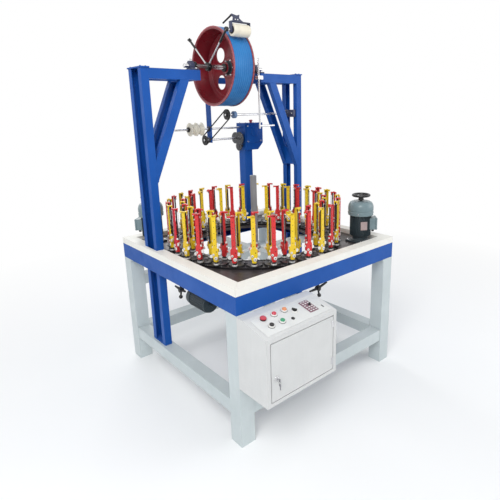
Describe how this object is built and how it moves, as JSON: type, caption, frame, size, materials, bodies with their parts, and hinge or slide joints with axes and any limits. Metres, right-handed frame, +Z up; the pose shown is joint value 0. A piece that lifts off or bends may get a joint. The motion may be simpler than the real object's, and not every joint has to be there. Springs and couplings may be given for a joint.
{
  "type": "net braiding machine",
  "caption": "Square floor-standing net braiding machine with a ring of bobbin carriers, twin braced gantries, an overhead take-up drum, motors and a control cabinet.",
  "frame": {"origin": "on the floor under the centre of the bounding box", "axes": "+Z up; -Y is the front, the side of the control cabinet; +X is to the right as seen from the front"},
  "size_m": [1.424, 1.701, 2.5058],
  "materials": {
    "blue_paint": "gloss royal blue machine paint",
    "light_grey_paint": "satin light grey machine paint",
    "cream_board": "cream edge boards",
    "dark_bed_steel": "dark oiled steel plate",
    "cabinet_grey": "fine textured warm grey powder coat",
    "red_paint": "dark red paint on the drum",
    "carrier_plastic": "red and yellow moulded carriers on dark steel gears",
    "motor_green_grey": "grey-green motor enamel",
    "black_plastic": "black plastic and blackened steel",
    "bright_steel": "ground steel",
    "ivory_nylon": "ivory nylon",
    "black_rubber": "black drive belt"
  },
  "bodies": {
    "machine_frame": {"band_front": "blue_paint", "band_left": "blue_paint", "band_rear": "blue_paint", "band_right": "blue_paint", "bed_plate": "dark_bed_steel", "cabinet_body": "cabinet_grey", "centre_stand": "light_grey_paint", "change_gears": "black_plastic", "control_panel": "cabinet_grey", "cross_shaft": "bright_steel", "drive_belt": "black_rubber", "drive_box": "blue_paint", "drive_post": "blue_paint", "drum_shaft": "bright_steel", "gantry_beam_left": "blue_paint", "gantry_beam_right": "blue_paint", "gantry_brace_left": "blue_paint", "gantry_brace_right": "blue_paint", "gantry_column_left": "blue_paint", "gantry_column_right": "blue_paint", "gantry_foot_left": "blue_paint", "gantry_foot_right": "blue_paint", "guide_shaft": "bright_steel", "hand_knob_front": "black_plastic", "hand_knob_left": "black_plastic", "hanger_bar": "blue_paint", "leg_front_left": "light_grey_paint", "leg_front_right": "light_grey_paint", "leg_rear_left": "light_grey_paint", "leg_rear_right": "light_grey_paint", "lever_rod": "bright_steel", "motor_left": "motor_green_grey", "motor_right": "motor_green_grey", "rail_front": "light_grey_paint", "rail_left": "light_grey_paint", "rail_rear": "light_grey_paint", "rail_rear_upper": "light_grey_paint", "rail_right": "light_grey_paint", "rear_arm": "blue_paint", "rim_front": "cream_board", "rim_left": "cream_board", "rim_rear": "cream_board", "rim_right": "cream_board", "ring_sector_1": "carrier_plastic", "ring_sector_2": "carrier_plastic", "ring_sector_3": "carrier_plastic", "ring_sector_4": "carrier_plastic", "ring_sector_5": "carrier_plastic", "ring_sector_6": "carrier_plastic", "ring_sector_7": "carrier_plastic", "ring_sector_8": "carrier_plastic", "under_motor": "motor_green_grey"},
    "take_up_drum": {"take_up_drum": "red_paint"},
    "press_roller": {"press_roller": "ivory_nylon"},
    "guide_pulley": {"guide_pulley": "ivory_nylon"},
    "handwheel_right": {"handwheel_right": "black_plastic"},
    "handwheel_left": {"handwheel_left": "black_plastic"},
    "cabinet_door": {"cabinet_door": "cabinet_grey"}
  },
  "joints": [
    {"name": "drum_spin", "type": "hinge", "parent": "machine_frame", "child": "take_up_drum", "pos_m": [-0.108, 0.4285, 2.192], "axis": [1, 0, 0], "continuous": true},
    {"name": "press_roller_spin", "type": "hinge", "parent": "machine_frame", "child": "press_roller", "pos_m": [-0.096, 0.19218, 2.40478], "axis": [1, 0, 0], "continuous": true},
    {"name": "guide_pulley_spin", "type": "hinge", "parent": "machine_frame", "child": "guide_pulley", "pos_m": [-0.142, 0.7385, 1.755], "axis": [1, 0, 0], "continuous": true},
    {"name": "handwheel_right_spin", "type": "hinge", "parent": "machine_frame", "child": "handwheel_right", "pos_m": [0.545, -0.4065, 1.2903], "axis": [0, 0, 1], "continuous": true},
    {"name": "handwheel_left_spin", "type": "hinge", "parent": "machine_frame", "child": "handwheel_left", "pos_m": [-0.545, 0.6835, 1.2903], "axis": [0, 0, 1], "continuous": true},
    {"name": "cabinet_door_hinge", "type": "hinge", "parent": "machine_frame", "child": "cabinet_door", "pos_m": [-0.221, -0.8185, 0.412], "axis": [0, 0, 1], "range_deg": [0, 110]}
  ]
}
